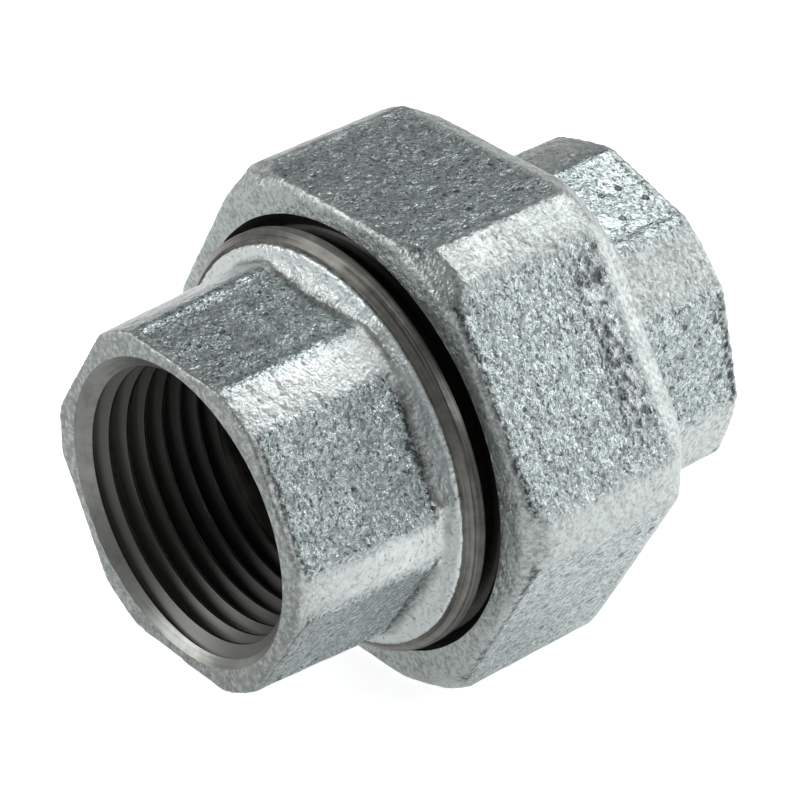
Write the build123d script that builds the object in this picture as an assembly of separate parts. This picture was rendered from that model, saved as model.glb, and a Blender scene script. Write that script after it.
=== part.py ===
from build123d import *
from math import cos, radians, tan
import os

# Hot-dip galvanised cast-iron union for 1 inch pipe: a screwed end, a bush and the nut that joins them.
# The fitting's axis is Y. The screwed end opens towards -Y, and the origin is on the axis at mid-length.

# Whole fitting
overallLength = 60.0
front = -overallLength / 2
runningClearance = 0.05
looseClearance = 0.4

# Pipe thread in both ends, 11 threads to the inch, modelled as the plain cylinder of its crests
threadDepth = 1.48
pipeThreadRadius = 15.15
pipeThreadLength = 19.0
mouthChamfer = 1.85
waterwayShoulder = 1.35

# Hexagonal hub of the screwed end, with the casting's draft
screwedHubWall = 1.35
screwedHubDraft = 2.2
screwedHubCorner = 8.2
screwedHubTurn = 3.0
rimRounding = 0.8

# Round collar behind that hub, and the land and thread turned on it for the nut
unionThreadRadius = 23.4
collarStep = 1.2
collarRim = 0.4
collarBack = 19.1
flareLength = 2.1
flareRise = 4.0
flareSweep = 4.5
landChamfer = 0.8
threadLeadIn = 1.0
screwedEndLength = 33.0

# Conical seat, iron on iron
seatAngle = 45.0
seatNoseWall = 1.2
seatWidth = 4.0
seatStandOff = 0.9

# Union bush
flangeThickness = 4.9
flangeEdge = 0.6
neckStep = 0.2
neckShowing = 1.2
neckFillet = 2.0
bushHubWall = 2.1
bushHubCorner = 12.5
bushHubTurn = 18.0

# Union nut
nutLength = 22.2
nutWall = 3.2
nutCorner = 5.4
nutCornerTrim = 0.26
nutFrontChamfer = 2.4
nutBackChamfer = 2.7
nutFrontReach = 0.8
nutFrontFall = 0.25
nutBackFall = 1.15
nutMouthCountersink = 0.85
nutLipThickness = 5.5


def acrossCorners(halfWidth, cornerRadius):
    """Distance from the axis to the corners of a hexagon with rounded corners."""
    return (halfWidth - cornerRadius) / cos(radians(30)) + cornerRadius


# Radii that follow from the sizes above
mouthRadius = pipeThreadRadius + mouthChamfer
waterwayRadius = pipeThreadRadius - waterwayShoulder
screwedHubHalfWidth = mouthRadius + screwedHubWall
bushHubHalfWidth = mouthRadius + bushHubWall
collarRadius = unionThreadRadius - collarStep
seatNoseRadius = waterwayRadius + seatNoseWall
seatOuterRadius = seatNoseRadius + seatWidth
flangeRadius = unionThreadRadius - threadDepth - runningClearance
neckRadius = acrossCorners(bushHubHalfWidth, bushHubCorner) + neckStep
nutThreadRadius = unionThreadRadius + runningClearance
nutHalfWidth = nutThreadRadius + nutWall
lipRadius = neckRadius + looseClearance

# Places behind the front face that follow from the sizes above
seatSlope = tan(radians(seatAngle))
flangeFront = screwedEndLength + seatStandOff
flangeBack = flangeFront + flangeThickness
noseFront = flangeFront - seatWidth / seatSlope
lipFace = flangeBack + runningClearance
nutBack = lipFace + nutLipThickness
nutFront = nutBack - nutLength
neckBack = nutBack + neckShowing


def crossSection(y, turn=0.0):
    """Plane across the axis, y millimetres behind the front face."""
    return Plane(origin=(0, front + y, 0), x_dir=(1, 0, 0), z_dir=(0, 1, 0)).rotated((0, turn, 0))


def hexagon(halfWidth, cornerRadius):
    outline = RegularPolygon(halfWidth, 6, major_radius=False)
    return fillet(outline.vertices(), cornerRadius)


def turned(points):
    """Solid of revolution about the axis from (radius, distance behind the front face) points."""
    outline = make_face(Polyline([(r, front + y) for r, y in points], close=True))
    return revolve(outline, Axis.Y)


def threadedMouth(mouthAt, inwards):
    """Space of a mouth's chamfer and pipe thread; inwards is 1 from the front face and -1 from the back."""
    return turned([
        (0, mouthAt),
        (mouthRadius, mouthAt),
        (pipeThreadRadius, mouthAt + inwards * mouthChamfer),
        (pipeThreadRadius, mouthAt + inwards * pipeThreadLength),
        (0, mouthAt + inwards * pipeThreadLength),
    ])


def waterway():
    return turned([(0, 0), (waterwayRadius, 0), (waterwayRadius, overallLength), (0, overallLength)])


def seatPlaceAt(radius):
    """Distance behind the front face where the bush's seat cone has this radius."""
    return noseFront + (radius - seatNoseRadius) / seatSlope


def seatRadiusAt(y):
    """Radius of the bush's seat cone, y millimetres behind the front face."""
    return seatNoseRadius + (y - noseFront) * seatSlope


def flare():
    """Concave sweep from the hub's flats out to the collar's rim, solid about the axis."""
    flareBack = collarBack - collarRim
    flareFront = flareBack - flareLength
    startRadius = collarRadius - flareRise
    sweep = RadiusArc((startRadius, front + flareFront), (collarRadius, front + flareBack), flareSweep)
    rest = Polyline(
        (collarRadius, front + flareBack),
        (collarRadius, front + collarBack),
        (0, front + collarBack),
        (0, front + flareFront),
        (startRadius, front + flareFront),
    )
    return revolve(make_face([sweep, rest]), Axis.Y)


def screwedEnd():
    outline = hexagon(screwedHubHalfWidth, screwedHubCorner)
    hub = extrude(crossSection(0, screwedHubTurn) * outline, collarBack, taper=-screwedHubDraft)
    rim = hub.faces().sort_by(Axis.Y)[0].edges()
    hub = fillet(rim, rimRounding)
    threaded = turned([
        (0, collarBack),
        (unionThreadRadius - landChamfer, collarBack),
        (unionThreadRadius, collarBack + landChamfer),
        (unionThreadRadius, screwedEndLength - threadLeadIn),
        (unionThreadRadius - threadLeadIn, screwedEndLength),
        (0, screwedEndLength),
    ])
    seat = turned([
        (0, seatPlaceAt(waterwayRadius) - runningClearance),
        (waterwayRadius, seatPlaceAt(waterwayRadius) - runningClearance),
        (seatRadiusAt(screwedEndLength + runningClearance), screwedEndLength),
        (0, screwedEndLength),
    ])
    return hub + flare() + threaded - threadedMouth(0, 1) - waterway() - seat


def unionBush():
    outline = hexagon(bushHubHalfWidth, bushHubCorner)
    hub = extrude(crossSection(flangeBack, bushHubTurn) * outline, overallLength - flangeBack)
    rim = hub.faces().sort_by(Axis.Y)[-1].edges()
    hub = fillet(rim, rimRounding)
    flanged = turned([
        (0, noseFront),
        (seatNoseRadius, noseFront),
        (seatOuterRadius, flangeFront),
        (flangeRadius - flangeEdge, flangeFront),
        (flangeRadius, flangeFront + flangeEdge),
        (flangeRadius, flangeBack),
        (neckRadius, flangeBack),
        (neckRadius, neckBack),
        (bushHubHalfWidth, neckBack + neckFillet),
        (0, neckBack + neckFillet),
    ])
    return hub + flanged - threadedMouth(overallLength, -1) - waterway()


def nutOutline(y, fall):
    """The nut's section y millimetres behind the front face, drawn in by fall all round."""
    return crossSection(y) * hexagon(nutHalfWidth - fall, nutCorner - fall)


def nutBlock():
    """Hexagonal block whose flats fall away a little at both ends."""
    fullFrom = nutFront + nutFrontReach
    fullTo = nutBack - nutBackChamfer
    middle = extrude(nutOutline(fullFrom, 0), fullTo - fullFrom)
    frontEnd = loft([nutOutline(nutFront, nutFrontFall), nutOutline(fullFrom, 0)], ruled=True)
    backEnd = loft([nutOutline(fullTo, 0), nutOutline(nutBack, nutBackFall)], ruled=True)
    return frontEnd + middle + backEnd


def unionNut():
    cornerRadius = acrossCorners(nutHalfWidth, nutCorner) - nutCornerTrim
    turnedEnds = turned([
        (0, nutFront),
        (cornerRadius - nutFrontChamfer, nutFront),
        (cornerRadius, nutFront + nutFrontChamfer),
        (cornerRadius, nutBack - nutBackChamfer),
        (cornerRadius - nutBackChamfer, nutBack),
        (0, nutBack),
    ])
    inside = turned([
        (0, nutFront),
        (nutThreadRadius + nutMouthCountersink, nutFront),
        (nutThreadRadius, nutFront + nutMouthCountersink),
        (nutThreadRadius, lipFace),
        (lipRadius, lipFace),
        (lipRadius, nutBack),
        (0, nutBack),
    ])
    return (nutBlock() & turnedEnds) - inside


os.makedirs("parts", exist_ok=True)
for name, shape in {
    "screwed_end": screwedEnd(),
    "union_bush": unionBush(),
    "union_nut": unionNut(),
}.items():
    export_step(shape, f"parts/{name}.step")
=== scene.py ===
import bpy
import math
from mathutils import Matrix, Vector


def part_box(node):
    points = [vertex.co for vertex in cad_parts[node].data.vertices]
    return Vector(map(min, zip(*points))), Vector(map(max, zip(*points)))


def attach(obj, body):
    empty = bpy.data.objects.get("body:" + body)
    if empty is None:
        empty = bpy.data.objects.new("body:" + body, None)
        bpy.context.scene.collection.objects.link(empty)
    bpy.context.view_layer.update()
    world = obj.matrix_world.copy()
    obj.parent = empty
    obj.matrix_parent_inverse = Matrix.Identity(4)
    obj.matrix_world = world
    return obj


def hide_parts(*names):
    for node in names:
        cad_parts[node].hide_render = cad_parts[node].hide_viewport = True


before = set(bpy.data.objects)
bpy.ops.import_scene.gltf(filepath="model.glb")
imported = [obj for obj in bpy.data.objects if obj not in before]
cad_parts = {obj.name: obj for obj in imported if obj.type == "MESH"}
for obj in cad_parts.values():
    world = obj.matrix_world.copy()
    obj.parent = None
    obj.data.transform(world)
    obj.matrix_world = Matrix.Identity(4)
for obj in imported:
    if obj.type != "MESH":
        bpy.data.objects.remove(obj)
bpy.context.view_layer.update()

# every size below is in millimetres, and every place is measured along the axis from the near mouth
mm = 0.001
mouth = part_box("screwed_end")[0][1]
fitting = {
    "length": 60.0,
    "rings": 192,  # vertices round every turned shape
    "waterway": 13.8,
    "skinBore": 16.75,  # where the cast skin meets the turned metal inside it
    "crest": 15.15,  # pipe thread
    "mouthRadius": 17.0,
    "threadLength": 19.0,
    "collarBack": 19.1,
    "unionThread": 23.4,
    "endFace": 33.0,
    "seatNose": 29.9,
    "seatNoseRadius": 15.0,
    "flange": (33.9, 38.8, 21.87),  # front face, back face, radius
    "lip": (38.85, 20.72),  # inner face, radius
    "shoulder": 0.6,  # how far a bore narrows beyond its thread, along the axis
    "unionGroove": 21.9,  # where the union thread's groove starts
    "smoothAngle": 25,  # degrees
}


# helpers: every piece is shaped by operators, then left at the origin, unturned and unscaled

def deselectAll():
    if bpy.context.mode != "OBJECT":
        bpy.ops.object.mode_set(mode="OBJECT")
    bpy.ops.object.select_all(action="DESELECT")


def makeActive(piece):
    deselectAll()
    piece.select_set(True)
    bpy.context.view_layer.objects.active = piece


def applyModifier(piece, kind, **settings):
    makeActive(piece)
    modifier = piece.modifiers.new(kind.lower(), kind)
    for key, value in settings.items():
        setattr(modifier, key, value)
    bpy.ops.object.modifier_apply(modifier=modifier.name)


def cutWith(piece, tool, operation="DIFFERENCE"):
    applyModifier(
        piece, "BOOLEAN", operation=operation, object=tool, solver="EXACT", material_mode="TRANSFER")
    bpy.data.objects.remove(tool)


def joinAll(pieces, name):
    makeActive(pieces[0])
    for piece in pieces:
        piece.select_set(True)
    bpy.ops.object.join()
    pieces[0].name = name
    return pieces[0]


def giveMaterial(piece, material):
    piece.data.materials.clear()
    piece.data.materials.append(material)


# turned shape from (radius, place) points; a ring closes on itself, a solid gets flat ends
def turn(name, outline, material, solid=False):
    deselectAll()
    radius, place = outline[0]
    bpy.ops.mesh.primitive_circle_add(
        vertices=fitting["rings"], radius=radius * mm,
        location=(0, mouth + place * mm, 0), rotation=(math.radians(90), 0, 0))
    piece = bpy.context.object
    piece.name = name
    bpy.ops.object.transform_apply(location=True, rotation=True, scale=True)
    bpy.ops.object.mode_set(mode="EDIT")
    bpy.ops.mesh.select_mode(type="VERT")
    bpy.ops.mesh.select_all(action="SELECT")
    for nextRadius, nextPlace in outline[1:]:
        bpy.ops.mesh.extrude_region_move(
            TRANSFORM_OT_translate={"value": (0, (nextPlace - place) * mm, 0)})
        scale = nextRadius / radius
        bpy.ops.transform.resize(value=(scale, 1, scale), center_override=(0, 0, 0))
        radius, place = nextRadius, nextPlace
    bpy.ops.mesh.select_all(action="DESELECT")
    bpy.ops.mesh.select_non_manifold()
    if solid:
        bpy.ops.mesh.fill_holes(sides=0)
    else:
        bpy.ops.mesh.bridge_edge_loops()
    bpy.ops.mesh.select_all(action="SELECT")
    bpy.ops.mesh.normals_make_consistent(inside=False)
    bpy.ops.object.mode_set(mode="OBJECT")
    giveMaterial(piece, material)
    return piece


bar = {
    "cornerSteps": 3,
    "cornerProfile": 0.31,  # nearly a straight cut
    "nearness": 0.01,
    "smallestSide": 100,  # square millimetres
}


# in edit mode: every vertex at this place along the axis
def selectRing(mesh, place):
    bpy.ops.mesh.select_all(action="DESELECT")
    bpy.ops.object.mode_set(mode="OBJECT")
    for vertex in mesh.vertices:
        vertex.select = abs(vertex.co.y - mouth - place * mm) < bar["nearness"] * mm
    bpy.ops.object.mode_set(mode="EDIT")


# hexagonal bar along the axis; its corners are cut to facets, and its sides sink a little inside a border
def hexBar(name, size, material):
    deselectAll()
    start, end = size["places"]
    bpy.ops.mesh.primitive_cylinder_add(
        vertices=6, radius=size["halfWidth"] / math.cos(math.radians(30)) * mm, depth=(end - start) * mm,
        location=(0, mouth + (start + end) / 2 * mm, 0),
        rotation=(math.radians(90), math.radians(30 + size["turn"]), 0))
    piece = bpy.context.object
    piece.name = name
    bpy.ops.object.transform_apply(location=True, rotation=True, scale=True)
    mesh = piece.data
    bpy.ops.object.mode_set(mode="EDIT")
    bpy.ops.mesh.select_mode(type="EDGE")
    bpy.ops.mesh.select_all(action="DESELECT")
    bpy.ops.object.mode_set(mode="OBJECT")
    for edge in mesh.edges:
        ends = [mesh.vertices[v].co.y for v in edge.vertices]
        edge.select = abs(ends[0] - ends[1]) > mm
    bpy.ops.object.mode_set(mode="EDIT")
    bpy.ops.mesh.bevel(
        offset=size["corner"] * mm, segments=bar["cornerSteps"], profile=bar["cornerProfile"])
    bpy.ops.mesh.select_mode(type="VERT")
    for place, reach, fall in size["fall"]:
        if reach:
            bpy.ops.mesh.select_all(action="SELECT")
            bpy.ops.mesh.bisect(plane_co=(0, mouth + (place + reach) * mm, 0), plane_no=(0, 1, 0))
        selectRing(mesh, place)
        scale = 1 - fall / size["halfWidth"]
        bpy.ops.transform.resize(value=(scale, 1, scale), center_override=(0, 0, 0))
    bpy.ops.mesh.select_all(action="DESELECT")
    bpy.ops.mesh.select_mode(type="FACE")
    bpy.ops.object.mode_set(mode="OBJECT")
    for face in mesh.polygons:
        face.select = abs(face.normal.y) < 0.5 and face.area > bar["smallestSide"] * mm * mm
    bpy.ops.object.mode_set(mode="EDIT")
    bpy.ops.mesh.inset(thickness=size["border"] * mm, depth=0, use_individual=True)
    bpy.ops.mesh.inset(thickness=size["sink"] * mm, depth=-size["sink"] * mm, use_individual=True)
    bpy.ops.object.mode_set(mode="OBJECT")
    giveMaterial(piece, material)
    return piece


# a casting's skin: one even mesh with soft edges, gently uneven, its hollows found for the painted shade
casting = {
    "smoothing": 0.5,
    "noiseDepth": 2,
    "hollowShadeAngles": (75, 105),  # degrees between which a hollow goes from full painted shade to none
    "hollowShadeBlur": 3,
}


def castSkin(piece, size):
    applyModifier(piece, "REMESH", mode="VOXEL", voxel_size=size["grain"] * mm, use_smooth_shade=True)
    applyModifier(piece, "SMOOTH", factor=casting["smoothing"], iterations=size["softening"])
    for name, scale, depth in size["unevenness"]:
        texture = bpy.data.textures.new(name, "CLOUDS")
        texture.noise_scale = scale * mm
        texture.noise_depth = casting["noiseDepth"]
        applyModifier(piece, "DISPLACE", texture=texture, strength=depth * mm, mid_level=0.5)
    bpy.ops.geometry.color_attribute_add(
        name="hollowShadeMap", domain="CORNER", data_type="FLOAT_COLOR", color=(1, 1, 1, 1))
    fullShadeAngle, lighter = casting["hollowShadeAngles"]
    bpy.ops.paint.vertex_color_dirt(
        blur_strength=1.0, blur_iterations=casting["hollowShadeBlur"], dirt_angle=math.radians(fullShadeAngle),
        clean_angle=math.radians(lighter), normalize=False)


thread = {
    "pitch": 2.309,
    "steps": 96,  # round each turn
    "fade": 24,  # steps in which the groove runs out at each end
    "fadeDepth": 1.5,
    "outline": [  # (depth below the crest, half width of the groove)
        (-0.12, 1.02), (0.0, 1.02), (0.12, 0.90), (1.34, 0.26), (1.45, 0.14),
        (1.45, -0.14), (1.34, -0.26), (0.12, -0.90), (0.0, -1.02), (-0.12, -1.02)],
}


# the groove's section is drawn out of the metal towards both ends
def fadeEnds(piece, crest, deepen):
    points = len(thread["outline"])
    last = len(piece.data.vertices) // points - 1
    for step in range(thread["fade"]):
        bpy.ops.object.mode_set(mode="EDIT")
        bpy.ops.mesh.select_all(action="DESELECT")
        bpy.ops.object.mode_set(mode="OBJECT")
        for vertex in piece.data.vertices:
            vertex.select = vertex.index // points in (step, last - step)
        bpy.ops.object.mode_set(mode="EDIT")
        scale = 1 - deepen * thread["fadeDepth"] * (1 - step / thread["fade"]) / crest
        bpy.ops.transform.resize(value=(scale, 1, scale), center_override=(0, 0, 0))
    bpy.ops.object.mode_set(mode="OBJECT")


# solid that cuts one helical groove, right-handed; deepen is 1 for a bore and -1 for a shaft
def threadTool(crest, start, turns, deepen, material):
    deselectAll()
    points = [(crest + deepen * depth, start + width) for depth, width in thread["outline"]]
    radius, place = points[0]
    bpy.ops.mesh.primitive_plane_add(size=mm, location=(radius * mm, mouth + place * mm, 0))
    piece = bpy.context.object
    bpy.ops.object.transform_apply(location=True, rotation=True, scale=True)
    bpy.ops.object.mode_set(mode="EDIT")
    bpy.ops.mesh.select_mode(type="VERT")
    bpy.ops.mesh.select_all(action="SELECT")
    bpy.ops.mesh.merge(type="CENTER")
    for nextRadius, nextPlace in points[1:]:
        step = ((nextRadius - radius) * mm, (nextPlace - place) * mm, 0)
        bpy.ops.mesh.extrude_region_move(TRANSFORM_OT_translate={"value": step})
        radius, place = nextRadius, nextPlace
    bpy.ops.mesh.select_all(action="SELECT")
    bpy.ops.mesh.edge_face_add()
    bpy.ops.mesh.select_all(action="SELECT")
    bpy.ops.mesh.delete(type="ONLY_FACE")
    bpy.ops.object.mode_set(mode="OBJECT")
    applyModifier(
        piece, "SCREW", axis="Y", angle=math.radians(360), screw_offset=thread["pitch"] * mm,
        iterations=turns, steps=thread["steps"], render_steps=thread["steps"], use_merge_vertices=False)
    fadeEnds(piece, crest, deepen)
    bpy.ops.object.mode_set(mode="EDIT")
    bpy.ops.mesh.select_all(action="DESELECT")
    bpy.ops.mesh.select_non_manifold()
    bpy.ops.mesh.fill_holes(sides=0)
    bpy.ops.mesh.select_all(action="SELECT")
    bpy.ops.mesh.normals_make_consistent(inside=False)
    bpy.ops.object.mode_set(mode="OBJECT")
    giveMaterial(piece, material)
    return piece


# materials: node groups that both finishes use, then the two finishes
def newGroup(name, inputs, outputs):
    group = bpy.data.node_groups.new(name, "ShaderNodeTree")
    for socketName, kind, value in inputs:
        socket = group.interface.new_socket(socketName, in_out="INPUT", socket_type=kind)
        if value is not None:
            socket.default_value = value
    for socketName, kind in outputs:
        group.interface.new_socket(socketName, in_out="OUTPUT", socket_type=kind)
    nodes = group.nodes
    return group, nodes.new("NodeGroupInput"), nodes.new("NodeGroupOutput")


def addNode(tree, kind, inputs=None, **settings):
    node = tree.nodes.new(kind)
    for key, value in settings.items():
        setattr(node, key, value)
    for key, value in (inputs or {}).items():
        socket = node.inputs[key]
        if isinstance(value, bpy.types.NodeSocket):
            tree.links.new(value, socket)
        else:
            socket.default_value = value
    return node


def maths(tree, operation, *values):
    return addNode(tree, "ShaderNodeMath", dict(enumerate(values)), operation=operation).outputs[0]


def times(tree, first, second):
    return maths(tree, "MULTIPLY", first, second)


def plus(tree, first, second):
    return maths(tree, "ADD", first, second)


def minus(tree, first, second):
    return maths(tree, "SUBTRACT", first, second)


def vectorMaths(tree, operation, first, second):
    return addNode(tree, "ShaderNodeVectorMath", {0: first, 1: second}, operation=operation)


def parts(tree, vector):
    return addNode(tree, "ShaderNodeSeparateXYZ", {"Vector": vector}).outputs


def channels(tree, color):
    return addNode(tree, "ShaderNodeSeparateColor", {"Color": color}).outputs


def ramp(tree, fac, low, high, to=(0.0, 1.0)):
    inputs = {"Value": fac, "From Min": low, "From Max": high, "To Min": to[0], "To Max": to[1]}
    return addNode(tree, "ShaderNodeMapRange", inputs).outputs["Result"]


def mixValue(tree, fac, first, second):
    return addNode(tree, "ShaderNodeMix", {0: fac, 2: first, 3: second}).outputs[0]


def noise(tree, vector, size, detail=2.0, roughness=0.5):
    inputs = {"Vector": vector, "Scale": 1 / (size * mm), "Detail": detail, "Roughness": roughness}
    return addNode(tree, "ShaderNodeTexNoise", inputs).outputs["Fac"]


def cellsOf(tree, vector, scale):
    return addNode(tree, "ShaderNodeTexVoronoi", {"Vector": vector, "Scale": scale}, feature="F1").outputs


def distanceFromAxis(tree, vector):
    across = vectorMaths(tree, "MULTIPLY", vector, (1, 0, 1)).outputs[0]
    return addNode(tree, "ShaderNodeVectorMath", {0: across}, operation="LENGTH").outputs["Value"]


def mixColor(tree, fac, first, second):
    return addNode(tree, "ShaderNodeMix", {0: fac, 6: first, 7: second}, data_type="RGBA").outputs[2]


# sugary zinc: small grains with dark specks between them, round pits, and patches where it ran smoother
zincMarks = {  # sizes in millimetres, heights as shares of the bump's height
    "warp": 0.6,  # how far the grains are drawn out of shape
    "grain": (0.42, 0.7),  # size, height
    "grainEdge": 0.75,  # distance from its middle at which a grain ends, as a share of its size
    "fine": (0.24, 0.9),
    "clump": (0.75, 1.8),
    "coarse": (1.3, 2.6),
    "patch": (2.4, 0.45),  # size, and what is left of the small marks where it ran smoother
    "patchRange": (0.38, 0.56),
    "tone": (0.8, 0.3),  # shares of the fine marks and of each grain's own shade
    "speck": (0.50, 0.37, 0.44),  # size, and the noise levels between which it fades
    "pit": (2.2, 0.13, 0.20),  # spacing, and the shares of it between which a pit fades
    "pitless": 0.6,  # share of the spaces without a pit
}


def makeGrainGroup():
    group, inlet, outlet = newGroup(
        "zincGrain",
        [("Vector", "NodeSocketVector", None)],
        [("Height", "NodeSocketFloat"), ("Tone", "NodeSocketFloat"), ("Specks", "NodeSocketFloat"),
         ("Pits", "NodeSocketFloat")])
    vector = inlet.outputs["Vector"]
    warp = zincMarks["warp"] * mm
    swirl = addNode(group, "ShaderNodeTexNoise", {"Vector": vector, "Scale": 1 / warp, "Detail": 2.0})
    shift = vectorMaths(group, "SUBTRACT", swirl.outputs["Color"], (0.5, 0.5, 0.5)).outputs[0]
    shift = vectorMaths(group, "MULTIPLY", shift, (warp, warp, warp)).outputs[0]
    place = vectorMaths(group, "ADD", vector, shift).outputs[0]
    grainSize, grainHeight = zincMarks["grain"]
    cells = cellsOf(group, place, 1 / (grainSize * mm))
    grains = ramp(group, cells["Distance"], 0.0, zincMarks["grainEdge"], (1.0, 0.0))
    cellTone = channels(group, cells["Color"])[0]
    fineSize, fineHeight = zincMarks["fine"]
    fine = noise(group, vector, fineSize, 3.0, 0.65)
    clumpSize, clumpHeight = zincMarks["clump"]
    clump = noise(group, vector, clumpSize)
    coarseSize, coarseHeight = zincMarks["coarse"]
    coarse = noise(group, vector, coarseSize, 3.0, 0.55)
    patchSize, left = zincMarks["patch"]
    patch = ramp(group, noise(group, vector, patchSize), *zincMarks["patchRange"])
    height = plus(group, times(group, grains, grainHeight), times(group, fine, fineHeight))
    height = plus(group, height, times(group, clump, clumpHeight))
    height = times(group, height, ramp(group, patch, 0.0, 1.0, (left, 1.0)))
    height = plus(group, height, times(group, coarse, coarseHeight))
    fineShare, cellShare = zincMarks["tone"]
    tone = plus(group, times(group, fine, fineShare), times(group, cellTone, cellShare))
    speckSize, speckFull, speckGone = zincMarks["speck"]
    specks = ramp(group, noise(group, place, speckSize, 3.0, 0.7), speckFull, speckGone, (1.0, 0.0))
    spacing, pitFull, pitGone = zincMarks["pit"]
    pitCells = cellsOf(group, vector, 1 / (spacing * mm))
    chosen = maths(group, "GREATER_THAN", channels(group, pitCells["Color"])[1], zincMarks["pitless"])
    pits = times(group, ramp(group, pitCells["Distance"], pitFull, pitGone, (1.0, 0.0)), chosen)
    for name, value in (("Height", height), ("Tone", tone), ("Specks", specks), ("Pits", pits)):
        group.links.new(value, outlet.inputs[name])
    return group


# Sides is 1 on a hexagon's rough sides and 0 on its corners and ends; Crease Shade is the painted dark shade
# line where they end
sideMarks = {
    "half": 30,  # degrees from the middle of a side to a corner
    "wobble": (1.6, 0.12, 1.4),  # size, shift round the axis (share of those degrees), shift along it
    "aroundFade": 0.06,  # share of those degrees
    "alongFade": 0.15,
    "crease": (0.2, 0.6),  # distances from a side's end between which the painted shade line fades
    "creaseShadeGaps": (0.5, 0.45, 0.60, 0.1),  # size, noise levels between which it breaks off, and what is left
    "coarseFrom": (9, 14),  # X beyond which sides are coarser, with the full painted crease shade
    "topCreaseShade": 0.2,
}


def makeSidesGroup():
    group, inlet, outlet = newGroup(
        "hexagonSides",
        [("Vector", "NodeSocketVector", None), ("Turn", "NodeSocketFloat", 0.0),
         ("Corner", "NodeSocketFloat", 0.2), ("Start", "NodeSocketFloat", 0.0),
         ("End", "NodeSocketFloat", 0.0), ("Soft End", "NodeSocketFloat", 0.0)],
        [("Sides", "NodeSocketFloat"), ("Crease Shade", "NodeSocketFloat"), ("Coarse", "NodeSocketFloat")])
    vector = inlet.outputs["Vector"]
    x, y, z = parts(group, vector)
    wobbleSize, wobbleRound, wobbleAlong = sideMarks["wobble"]
    wobble = minus(group, noise(group, vector, wobbleSize, 4.0, 0.6), 0.5)
    angle = plus(group, maths(group, "ARCTAN2", z, x), inlet.outputs["Turn"])
    angle = plus(group, angle, math.radians(720))
    half = math.radians(sideMarks["half"])
    away = maths(group, "DIVIDE", maths(group, "PINGPONG", angle, half), half)
    away = plus(group, away, times(group, wobble, wobbleRound))
    away = minus(group, away, inlet.outputs["Corner"])
    around = ramp(group, away, -sideMarks["aroundFade"], sideMarks["aroundFade"])
    along = plus(group, y, times(group, wobble, wobbleAlong * mm))
    fromStart = minus(group, along, inlet.outputs["Start"])
    toEnd = minus(group, inlet.outputs["End"], along)
    fade = sideMarks["alongFade"] * mm
    within = times(group, ramp(group, fromStart, -fade, fade), ramp(group, toEnd, -fade, fade))
    atEnd = plus(group, maths(group, "ABSOLUTE", toEnd), inlet.outputs["Soft End"])
    nearest = maths(group, "MINIMUM", maths(group, "ABSOLUTE", fromStart), atEnd)
    gapSize, whole, broken, left = sideMarks["creaseShadeGaps"]
    jagged = ramp(group, noise(group, vector, gapSize, 3.0, 0.7), whole, broken, (1.0, left))
    full, gone = sideMarks["crease"]
    # painted shade: a dark line near the ends of each side, broken by noise and weaker on the sides that face
    # up
    line = times(group, ramp(group, nearest, full * mm, gone * mm, (1.0, 0.0)), jagged)
    coarseStart, coarseFull = sideMarks["coarseFrom"]
    coarse = ramp(group, x, coarseStart * mm, coarseFull * mm)
    line = times(group, line, ramp(group, coarse, 0.0, 1.0, (sideMarks["topCreaseShade"], 1.0)))
    for name, value in (("Sides", times(group, around, within)), ("Crease Shade", times(group, around, line)),
                        ("Coarse", coarse)):
        group.links.new(value, outlet.inputs[name])
    return group


# colours and shine of the zinc; the ranges are noise levels between which one thing gives way to another
zinc = {
    # darkest colour: the grains' specks and pits, and also the painted shade of creases, hollows and gaps
    # between drip lumps
    "crease": (0.045, 0.052, 0.052, 1),
    "dark": (0.27, 0.31, 0.315, 1),
    "light": (0.68, 0.77, 0.77, 1),
    "pale": (0.63, 0.685, 0.675, 1),
    "stain": (0.33, 0.35, 0.335, 1),
    # lighter colour: patches on the collar beyond a radius, and the painted highlight on drip lumps
    "lighter": (0.84, 0.89, 0.88, 1),
    "toneRange": (0.38, 0.72),
    "sideSpecks": 0.85,  # shares of the crease's colour
    "cornerSpecks": 0.3,
    "pitTint": 0.75,
    "creaseShadeTint": 0.9,
    "hollowShadeTint": 0.6,
    "hollowShadeRange": (0.32, 0.46),  # shade-map levels between which that painted shade fades
    "cloud": 3.5,  # size of the pale clouds on corners and ends
    "cloudRange": (0.3, 0.7),
    "cloudTint": 0.6,
    "cloudLoss": 5,  # how much of that a piece's "stained" takes away
    "mottle": 0.55,  # size of the stains there
    "mottleRange": (0.38, 0.56),
    "lighterFade": 0.8,
    "lighterRange": (0.30, 0.42),
    "metallic": 0.85,
    "sideRoughness": (0.36, 0.20),  # dark grains, light grains
    "roughnessRange": (0.35, 0.75),
    "cornerRoughness": 0.37,
    "sideBump": 1.0,
    "topBump": 0.65,  # the sides that faced up are smoother
    "cornerBump": 0.7,
    "bumpHeight": 0.10,
    "pitDepth": 1.6,  # shares of the bump's height
    "dripHeight": 4.0,
}


# lumps where the zinc ran together before it set; the lumps get a painted highlight and the gaps between them
# painted shade
dripMarks = {
    "fade": 5,  # degrees
    "wobble": (1.5, 1.6),  # size, and how far it moves both ends along the axis
    "startFade": 0.9,
    "endFade": (0.9, 0.5),
    "lump": (1.2, 0.36, 0.60),  # size, and the noise levels between which a gap turns to a lump
    "lumpHighlightTint": 0.45,
    "gapShadeTint": 0.8,
}


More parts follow.
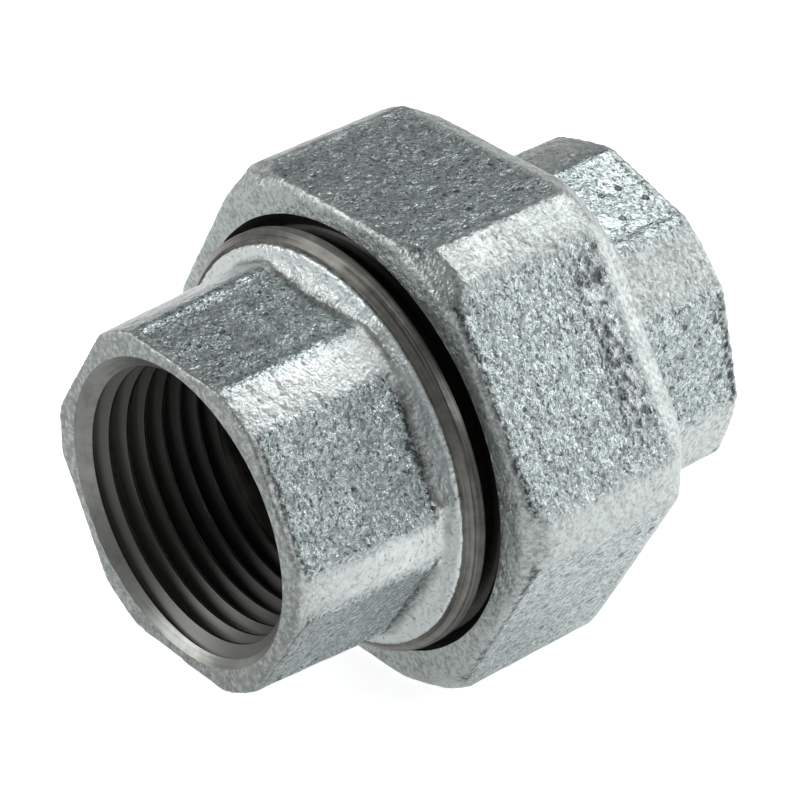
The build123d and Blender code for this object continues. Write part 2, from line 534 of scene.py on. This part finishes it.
def addDrips(tree, vector, size):
    start, end, middle, spread = size
    x, y, z = parts(tree, vector)
    away = maths(tree, "ABSOLUTE", minus(tree, maths(tree, "ARCTAN2", z, x), math.radians(middle)))
    around = ramp(tree, away, math.radians(spread), math.radians(spread - dripMarks["fade"]))
    wobbleSize, wobbleAlong = dripMarks["wobble"]
    along = plus(tree, y, times(tree, noise(tree, vector, wobbleSize), wobbleAlong * mm))
    near = ramp(tree, along, mouth + start * mm, mouth + (start + dripMarks["startFade"]) * mm)
    outer, inner = dripMarks["endFade"]
    far = ramp(tree, along, mouth + (end + outer) * mm, mouth + (end + inner) * mm)
    region = times(tree, around, times(tree, near, far))
    lumpSize, gap, lump = dripMarks["lump"]
    lumps = times(tree, region, ramp(tree, noise(tree, vector, lumpSize), gap, lump))
    return lumps, minus(tree, region, lumps)


# dark and light grains with specks and pits between them, for the rough sides
def sideColor(tree, grain):
    body = mixColor(tree, ramp(tree, grain["Tone"], *zinc["toneRange"]), zinc["dark"], zinc["light"])
    body = mixColor(tree, times(tree, grain["Specks"], zinc["sideSpecks"]), body, zinc["crease"])
    return mixColor(tree, times(tree, grain["Pits"], zinc["pitTint"]), body, zinc["crease"])


# pale and mottled, for corners and ends; a collar is lighter in patches beyond a radius
def cornerColor(tree, vector, grain, size):
    cloud = noise(tree, vector, zinc["cloud"], 4.0, 0.55)
    mottle = noise(tree, vector, zinc["mottle"], 3.0, 0.65)
    stained = size["stained"]
    low, high = zinc["mottleRange"]
    color = mixColor(tree, ramp(tree, mottle, low + stained, high + stained), zinc["stain"], zinc["pale"])
    most = zinc["cloudTint"] - zinc["cloudLoss"] * stained
    color = mixColor(tree, ramp(tree, cloud, *zinc["cloudRange"], (0.0, most)), color, zinc["pale"])
    color = mixColor(tree, times(tree, grain["Specks"], zinc["cornerSpecks"]), color, zinc["crease"])
    if "lighterFrom" in size:
        lighterFrom = size["lighterFrom"]
        radius = distanceFromAxis(tree, vector)
        beyond = ramp(tree, radius, lighterFrom * mm, (lighterFrom + zinc["lighterFade"]) * mm)
        lighter = times(tree, beyond, ramp(tree, mottle, *zinc["lighterRange"]))
        color = mixColor(tree, lighter, color, zinc["lighter"])
    return color


def makeZinc(name, size):
    material = bpy.data.materials.new(name)
    material.use_nodes = True
    tree = material.node_tree
    shader = tree.nodes["Principled BSDF"]
    vector = addNode(tree, "ShaderNodeTexCoord").outputs["Object"]
    grain = addNode(tree, "ShaderNodeGroup", node_tree=grainGroup)
    tree.links.new(vector, grain.inputs["Vector"])
    grain = grain.outputs
    sides = addNode(tree, "ShaderNodeGroup", node_tree=sidesGroup)
    tree.links.new(vector, sides.inputs["Vector"])
    start, end, corner = size["rough"]
    sides.inputs["Turn"].default_value = math.radians(size["turn"])
    sides.inputs["Corner"].default_value = corner
    sides.inputs["Start"].default_value = mouth + start * mm
    sides.inputs["End"].default_value = mouth + end * mm
    sides.inputs["Soft End"].default_value = size["softEnd"] * mm
    sides = sides.outputs

    body = sideColor(tree, grain)
    pitDepth = times(tree, times(tree, grain["Pits"], sides["Sides"]), zinc["pitDepth"])
    height = minus(tree, grain["Height"], pitDepth)
    if "drips" in size:
        lumps, shadedGaps = addDrips(tree, vector, size["drips"])
        # painted highlight on the lumps and painted shade in the gaps between them
        body = mixColor(tree, times(tree, lumps, dripMarks["lumpHighlightTint"]), body, zinc["lighter"])
        body = mixColor(tree, times(tree, shadedGaps, dripMarks["gapShadeTint"]), body, zinc["crease"])
        height = plus(tree, height, times(tree, lumps, zinc["dripHeight"]))
    tint = mixColor(tree, sides["Sides"], cornerColor(tree, vector, grain, size), body)
    # painted shade along the ends of the rough sides
    tint = mixColor(tree, times(tree, sides["Crease Shade"], zinc["creaseShadeTint"]), tint, zinc["crease"])
    # painted shade in the skin's hollows, darker where the mesh is more concave
    hollowShadeMap = addNode(tree, "ShaderNodeVertexColor", layer_name="hollowShadeMap").outputs["Color"]
    hollowShadeShare = ramp(tree, hollowShadeMap, *zinc["hollowShadeRange"], (zinc["hollowShadeTint"], 0.0))
    tree.links.new(mixColor(tree, hollowShadeShare, tint, zinc["crease"]), shader.inputs["Base Color"])

    shader.inputs["Metallic"].default_value = zinc["metallic"]
    rough = ramp(tree, grain["Tone"], *zinc["roughnessRange"], zinc["sideRoughness"])
    rough = mixValue(tree, sides["Sides"], zinc["cornerRoughness"], rough)
    tree.links.new(rough, shader.inputs["Roughness"])
    sideBump = ramp(tree, sides["Coarse"], 0.0, 1.0, (zinc["topBump"], zinc["sideBump"]))
    strength = mixValue(tree, sides["Sides"], zinc["cornerBump"], sideBump)
    bump = {"Strength": strength, "Distance": zinc["bumpHeight"] * mm, "Height": height}
    tree.links.new(addNode(tree, "ShaderNodeBump", bump).outputs["Normal"], shader.inputs["Normal"])
    return material


# turned metal without zinc: fine marks round the axis, stains, and painted shade, darker the deeper it lies
bareIron = {
    # darkest colour: dark tool marks, and the painted shade deep in the grooves
    "darkMarksAndShade": (0.06, 0.06, 0.057, 1),
    "groove": (0.21, 0.21, 0.195, 1),
    "dark": (0.10, 0.10, 0.092, 1),
    "light": (0.28, 0.275, 0.25, 1),
    "bright": (0.40, 0.41, 0.385, 1),
    "metallic": 0.9,
    "roughness": 0.36,
    "grooveRoughness": 0.45,
    "toolMark": 0.22,
    "stretch": (0.01, 1.0, 0.01),  # draws the marks out round the axis
    "lightMarks": (0.38, 0.62, 0.6),  # noise levels between which they come in, and their share
    "darkMarks": (0.48, 0.36, 0.7),
    "markDepth": 0.05,
    "markBump": 0.6,
    "stain": 1.8,
    "stainRange": (0.3, 0.7),
    "bore": (17.2, 19.0, 0.9),  # radii between which a bore's shade gives way, and the shade
    "deep": (8.9, 9.1, 0.25),  # the same by distance from mid-length
    "mouthDepths": (27.9, 28.4),  # distances from mid-length between which the chamfers begin to shine
    "mouthShine": 0.6,  # where they are stained
    "shineRange": (0.3, 0.6),
    "grooveDepths": (20.0, 29.0),  # and between which the grooves turn from painted shade to dark metal
}


def makeBareIron(name, grooves=False):
    material = bpy.data.materials.new(name)
    material.use_nodes = True
    tree = material.node_tree
    shader = tree.nodes["Principled BSDF"]
    vector = addNode(tree, "ShaderNodeTexCoord").outputs["Object"]
    along = addNode(tree, "ShaderNodeMapping", {"Vector": vector, "Scale": bareIron["stretch"]})
    marks = noise(tree, along.outputs["Vector"], bareIron["toolMark"])
    fromMiddle = maths(tree, "ABSOLUTE", parts(tree, vector)["Y"])
    if grooves:
        # painted shade: the grooves darken towards the middle of the bore
        near, far = bareIron["grooveDepths"]
        outer = ramp(tree, fromMiddle, near * mm, far * mm)
        tint = mixColor(tree, outer, bareIron["darkMarksAndShade"], bareIron["groove"])
    else:
        stain = noise(tree, vector, bareIron["stain"], 4.0, 0.6)
        tint = mixColor(tree, ramp(tree, stain, *bareIron["stainRange"]), bareIron["dark"], bareIron["light"])
        low, high, share = bareIron["lightMarks"]
        tint = mixColor(tree, ramp(tree, marks, low, high, (0.0, share)), tint, bareIron["light"])
        low, high, share = bareIron["darkMarks"]
        tint = mixColor(tree, ramp(tree, marks, low, high, (0.0, share)), tint, bareIron["darkMarksAndShade"])
        near, far, shade = bareIron["bore"]
        shade = ramp(tree, distanceFromAxis(tree, vector), near * mm, far * mm, (shade, 1.0))
        near, far, deepShade = bareIron["deep"]
        shade = times(tree, shade, ramp(tree, fromMiddle, near * mm, far * mm, (deepShade, 1.0)))
        tint = addNode(tree, "ShaderNodeVectorMath", {0: tint, "Scale": shade}, operation="SCALE").outputs[0]
        near, far = bareIron["mouthDepths"]
        unstained = ramp(tree, stain, *bareIron["shineRange"], (bareIron["mouthShine"], 1.0))
        shine = times(tree, ramp(tree, fromMiddle, near * mm, far * mm), unstained)
        tint = mixColor(tree, shine, tint, bareIron["bright"])
    tree.links.new(tint, shader.inputs["Base Color"])
    shader.inputs["Metallic"].default_value = bareIron["metallic"]
    shader.inputs["Roughness"].default_value = bareIron["grooveRoughness" if grooves else "roughness"]
    bump = {"Strength": bareIron["markBump"], "Distance": bareIron["markDepth"] * mm, "Height": marks}
    tree.links.new(addNode(tree, "ShaderNodeBump", bump).outputs["Normal"], shader.inputs["Normal"])
    return material


grainGroup = makeGrainGroup()
sidesGroup = makeSidesGroup()
ironMaterial = makeBareIron("turnedIron")
grooveMaterial = makeBareIron("threadGrooves", grooves=True)
print("finishes made")


# the near piece: hub, flare and collar as cast, with their turned bore, land, thread and seat
screwedEnd = {
    "places": (0.0, 19.1), "halfWidth": 19.09, "corner": 3.6, "turn": 3.0,  # turn: degrees from a level flat
    "fall": [(0.0, 0, 0.74)],  # end face, how far in it starts, how far it draws in
    "border": 0.7, "sink": 0.18,
    "rough": (1.0, 17.2, 0.21),  # start, end, share of each side's half that is corner
    "softEnd": 0.0, "stained": 0.06, "lighterFrom": 19.4,
    "grain": 0.34, "softening": 4,
    "unevenness": [("hubWaves", 7.0, 0.16), ("hubLumps", 1.6, 0.10)],
    "flare": [(18.2, 16.6), (18.8, 17.35), (19.92, 18.19), (21.1, 18.55), (22.2, 18.72), (22.2, 19.4)],
    "boreTo": 22.0,
    "undercut": (20.9, 22.8, 1.2),  # start, end and depth of the groove behind the collar's land
    "undercutSlopes": (0.4, 0.5),  # along the axis
    "landChamfer": 0.8,
    "leadIn": 1.0,
    "seatBack": 1.25,  # how far inside the bush's nose the seat starts
    "seatClearance": 0.05,
    "pipeGroove": (-1.5, 8),  # start, turns
    "unionTurns": 5,
}


def makeScrewedEnd():
    material = makeZinc("zincScrewedEnd", screwedEnd)
    skin = hexBar("screwedEndSkin", screwedEnd, material)
    flare = turn("flare", screwedEnd["flare"], material, solid=True)
    cutWith(skin, flare, "UNION")
    castSkin(skin, screwedEnd)
    bore = fitting["skinBore"]
    edge = fitting["mouthRadius"]
    mouthTool = turn(
        "mouthTool", [(edge + 1, -1.0), (bore, edge - bore), (bore, screwedEnd["boreTo"])],
        ironMaterial, solid=True)
    cutWith(skin, mouthTool)
    crest = fitting["crest"]
    way = fitting["waterway"]
    union = fitting["unionThread"]
    end = fitting["endFace"]
    back = fitting["collarBack"]
    nose = fitting["seatNose"]
    seatEdge = fitting["seatNoseRadius"] + end - nose + screwedEnd["seatClearance"]
    cutFrom, cutTo, depth = screwedEnd["undercut"]
    nearSlope, farSlope = screwedEnd["undercutSlopes"]
    chamfer = screwedEnd["landChamfer"]
    leadIn = screwedEnd["leadIn"]
    core = turn("screwedEndCore", [
        (bore, edge - bore), (crest, edge - crest), (crest, fitting["threadLength"]),
        (way, fitting["threadLength"] + fitting["shoulder"]), (way, nose - screwedEnd["seatBack"]),
        (seatEdge, end), (union - leadIn, end), (union, end - leadIn), (union, cutTo + farSlope),
        (union - depth, cutTo), (union - depth, cutFrom + nearSlope), (union, cutFrom),
        (union, back + chamfer), (union - chamfer, back), (bore, back)], ironMaterial)
    start, turns = screwedEnd["pipeGroove"]
    cutWith(core, threadTool(crest, start, turns, 1, grooveMaterial))
    cutWith(core, threadTool(union, fitting["unionGroove"], screwedEnd["unionTurns"], -1, grooveMaterial))
    makeActive(core)
    bpy.ops.object.shade_smooth_by_angle(angle=math.radians(fitting["smoothAngle"]))
    piece = joinAll([skin, core], "screwedEndPiece")
    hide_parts("screwed_end")
    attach(piece, "screwed_end")
    return piece


# the far piece: hub and neck as cast, with their turned bore, flange and nose
unionBush = {
    "places": (38.4, 60.0), "halfWidth": 19.1, "corner": 5.0, "turn": 18.0, "fall": [(60.0, 0, 0.1)],
    "border": 0.7, "sink": 0.18, "rough": (46.0, 59.2, 0.33), "softEnd": 0.0, "stained": 0.0,
    "grain": 0.34, "softening": 4,
    "unevenness": [("bushWaves", 7.0, 0.16), ("bushLumps", 1.6, 0.10)],
    "neck": [(20.3, 38.4), (20.3, 45.5), (19.1, 47.5)],
    "boreFrom": 36.0,
    "flangeEdge": 0.6,
    "pipeGroove": (43.0, 8),  # start, turns
}


def makeUnionBush():
    material = makeZinc("zincUnionBush", unionBush)
    skin = hexBar("unionBushSkin", unionBush, material)
    neck = turn("neck", unionBush["neck"], material, solid=True)
    cutWith(skin, neck, "UNION")
    castSkin(skin, unionBush)
    bore = fitting["skinBore"]
    edge = fitting["mouthRadius"]
    far = fitting["length"]
    mouthTool = turn(
        "mouthTool", [(bore, unionBush["boreFrom"]), (bore, far - edge + bore), (edge + 1, far + 1.0)],
        ironMaterial, solid=True)
    cutWith(skin, mouthTool)
    crest = fitting["crest"]
    way = fitting["waterway"]
    flangeFront, flangeBack, flangeRadius = fitting["flange"]
    nose = fitting["seatNose"]
    noseRadius = fitting["seatNoseRadius"]
    threadEnd = far - fitting["threadLength"]
    flangeEdge = unionBush["flangeEdge"]
    core = turn("unionBushCore", [
        (bore, far - edge + bore), (crest, far - edge + crest), (crest, threadEnd),
        (way, threadEnd - fitting["shoulder"]), (way, nose), (noseRadius, nose),
        (noseRadius + flangeFront - nose, flangeFront), (flangeRadius - flangeEdge, flangeFront),
        (flangeRadius, flangeFront + flangeEdge), (flangeRadius, flangeBack), (bore, flangeBack)],
        ironMaterial)
    start, turns = unionBush["pipeGroove"]
    cutWith(core, threadTool(crest, start, turns, 1, grooveMaterial))
    makeActive(core)
    bpy.ops.object.shade_smooth_by_angle(angle=math.radians(fitting["smoothAngle"]))
    piece = joinAll([skin, core], "unionBushPiece")
    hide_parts("union_bush")
    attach(piece, "union_bush")
    return piece


# the nut: block with turned ends as cast, with its turned mouth, thread and lip
unionNut = {
    "places": (22.15, 44.35), "halfWidth": 26.65, "corner": 2.7, "turn": 0.0,
    "fall": [(22.15, 0.7, 0.25), (44.35, -2.7, 1.0)],
    "border": 0.35, "sink": 0.12, "rough": (23.0, 41.2, 0.19), "softEnd": 1.0, "stained": 0.0,
    "drips": (37.6, 41.0, 32, 22),  # start, end, and the middle and spread of the angle round the axis
    "grain": 0.38, "softening": 4,
    "unevenness": [("nutWaves", 9.0, 0.20), ("nutLumps", 1.8, 0.12)],
    "ends": [(27.5, 22.15), (29.75, 24.4), (29.75, 41.65), (27.2, 44.35)],
    "mouthRadius": 24.3, "skinBore": 24.0, "crest": 22.05,
    "clear": (35.2, 35.5, 23.6),  # end of the thread, start of the clear space behind it, its radius
    "turns": 6,
}


def makeUnionNut():
    material = makeZinc("zincUnionNut", unionNut)
    skin = hexBar("unionNutSkin", unionNut, material)
    ends = turn("nutEnds", unionNut["ends"], material, solid=True)
    cutWith(skin, ends, "INTERSECT")
    castSkin(skin, unionNut)
    near, far = unionNut["places"]
    lipFace, lipRadius = fitting["lip"]
    bore = unionNut["skinBore"]
    edge = unionNut["mouthRadius"]
    crest = unionNut["crest"]
    mouthTool = turn("nutTool", [
        (edge + 1, near - 1.0), (bore, near + edge - bore), (bore, lipFace), (lipRadius, lipFace),
        (lipRadius, far + 1.0)], ironMaterial, solid=True)
    cutWith(skin, mouthTool)
    threadEnd, clearFrom, clearRadius = unionNut["clear"]
    core = turn("unionNutCore", [
        (bore, near + edge - bore), (crest, near + edge - crest), (crest, threadEnd),
        (clearRadius, clearFrom), (clearRadius, lipFace), (bore, lipFace)], ironMaterial)
    start = fitting["unionGroove"] - thread["pitch"] / 2
    cutWith(core, threadTool(crest, start, unionNut["turns"], 1, grooveMaterial))
    makeActive(core)
    bpy.ops.object.shade_smooth_by_angle(angle=math.radians(fitting["smoothAngle"]))
    piece = joinAll([skin, core], "unionNutPiece")
    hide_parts("union_nut")
    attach(piece, "union_nut")
    return piece


makeScrewedEnd()
print("screwed end made")
makeUnionBush()
print("union bush made")
makeUnionNut()
print("union nut made")


# studio: white floor, plain soft lamps, camera
studio = {
    "floorSize": 3.0,
    "floorColor": (0.9, 0.9, 0.9, 1),
    "floorRoughness": 0.9,
    "floorGlow": 0.8,  # as the camera sees it
    "floorMirrored": (0.10, 0.72),  # how bright the metal sees the floor in front and behind
    "mirrorRange": (-0.05, 0.04),  # metres along Y between which that changes
    "worldGrey": 0.23,
    "lamps": {  # place, size, power
        "overhead": ((-0.02, 0.57, 0.82), 0.8, 3.7),
        "right": ((0.78, 0.42, 0.46), 0.18, 0.95),
        "behindLow": ((0.35, 0.90, 0.25), 0.5, 1.7),
        "leftFront": ((-0.60, -0.68, 0.40), 0.6, 2.6),
    },
}


def makeFloor():
    deselectAll()
    bpy.ops.mesh.primitive_plane_add(size=studio["floorSize"], location=(0, 0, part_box("union_nut")[0][2]))
    floor = bpy.context.object
    floor.name = "floor"
    material = bpy.data.materials.new("whiteFloor")
    material.use_nodes = True
    tree = material.node_tree
    shader = tree.nodes["Principled BSDF"]
    shader.inputs["Base Color"].default_value = studio["floorColor"]
    shader.inputs["Roughness"].default_value = studio["floorRoughness"]
    rays = addNode(tree, "ShaderNodeLightPath").outputs
    place = parts(tree, addNode(tree, "ShaderNodeTexCoord").outputs["Object"])
    mirrored = ramp(tree, place["Y"], *studio["mirrorRange"], studio["floorMirrored"])
    mirrored = times(tree, rays["Is Glossy Ray"], mirrored)
    glow = ramp(tree, rays["Is Camera Ray"], 0.0, 1.0, (mirrored, studio["floorGlow"]))
    shader.inputs["Emission Color"].default_value = (1, 1, 1, 1)
    tree.links.new(glow, shader.inputs["Emission Strength"])
    floor.data.materials.append(material)


def makeWorld():
    world = bpy.data.worlds.new("studioWorld")
    bpy.context.scene.world = world
    world.use_nodes = True
    tree = world.node_tree
    rays = addNode(tree, "ShaderNodeLightPath").outputs
    background = tree.nodes["Background"]
    strength = ramp(tree, rays["Is Camera Ray"], 0.0, 1.0, (studio["worldGrey"], 1.0))
    tree.links.new(strength, background.inputs["Strength"])
    background.inputs["Color"].default_value = (1, 1, 1, 1)


def makeLamps():
    for name, (place, size, power) in studio["lamps"].items():
        lamp = bpy.data.lights.new(name, "AREA")
        lamp.shape = "DISK"
        lamp.size = size
        lamp.energy = power
        body = bpy.data.objects.new(name, lamp)
        bpy.context.scene.collection.objects.link(body)
        body.location = place
        body.rotation_euler = (-Vector(place)).to_track_quat("-Z", "Y").to_euler()


view = {
    "azimuth": 50.2, "elevation": 31.9, "roll": -1.46,  # degrees
    "distance": 418.8, "lens": 178.9, "sensor": 36.0,
    "target": (-1.85, 1.31, -0.48),
}


def makeCamera():
    camera = bpy.data.cameras.new("photoCamera")
    camera.lens = view["lens"]
    camera.sensor_width = view["sensor"]
    camera.clip_start = 10 * mm
    body = bpy.data.objects.new("photoCamera", camera)
    bpy.context.scene.collection.objects.link(body)
    turned = Matrix.Rotation(math.radians(view["azimuth"]), 4, "Z")
    raised = Matrix.Rotation(math.radians(90 - view["elevation"]), 4, "X")
    rolled = Matrix.Rotation(math.radians(view["roll"]), 4, "Z")
    aim = turned @ raised @ rolled
    body.rotation_euler = aim.to_euler()
    body.location = Vector(view["target"]) * mm + aim.to_3x3() @ Vector((0, 0, view["distance"] * mm))
    bpy.context.scene.camera = body


makeFloor()
makeWorld()
makeLamps()
makeCamera()
bpy.context.scene.view_settings.view_transform = "Standard"
print("studio made")
